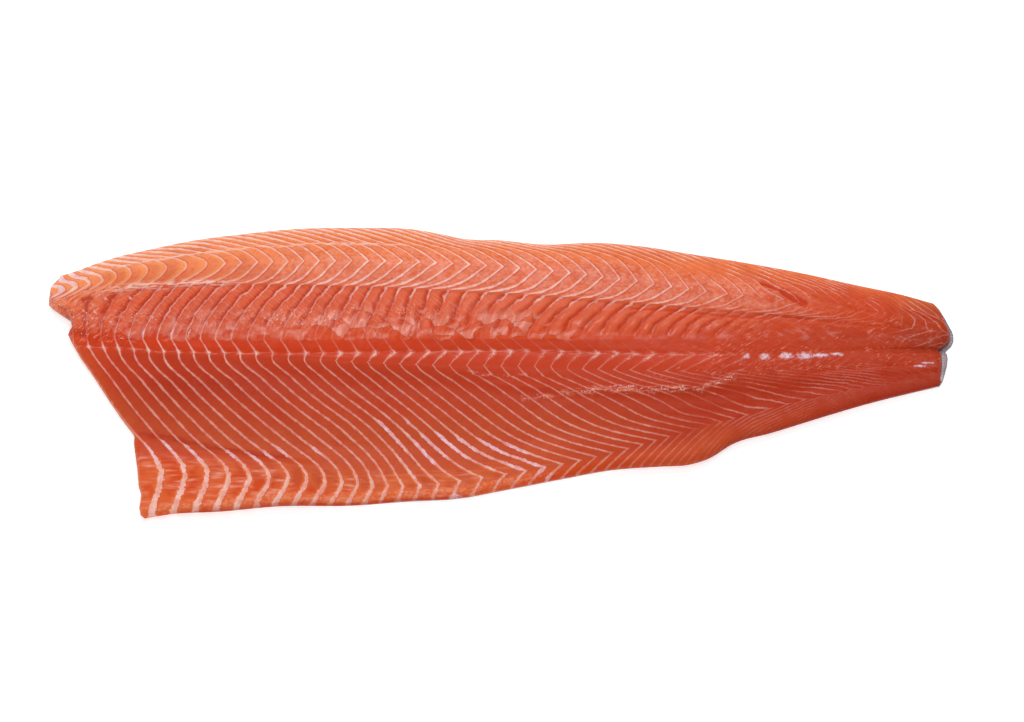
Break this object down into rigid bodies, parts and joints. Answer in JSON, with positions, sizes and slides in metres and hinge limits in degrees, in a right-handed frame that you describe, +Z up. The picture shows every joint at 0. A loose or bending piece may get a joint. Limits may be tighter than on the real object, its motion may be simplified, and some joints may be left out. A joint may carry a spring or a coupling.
{
  "type": "raw salmon fillet",
  "caption": "Whole raw side of salmon lying skin down: orange-red flesh with pale W-shaped fat lines over a thin grey skin.",
  "frame": {"origin": "middle of the bounding box on the plane the side rests on", "axes": "+X along the side from the head end to the tail, +Y from the belly edge to the back edge, +Z up out of the cut flesh"},
  "size_m": [0.6208, 0.2096, 0.0305],
  "materials": {
    "flesh": "raw orange-red fish flesh with pale fat lines, moist and satin",
    "skin": "wet grey-silver fish skin with fine scales"
  },
  "bodies": {
    "root": {"flesh": "flesh", "skin": "skin"}
  },
  "joints": []
}
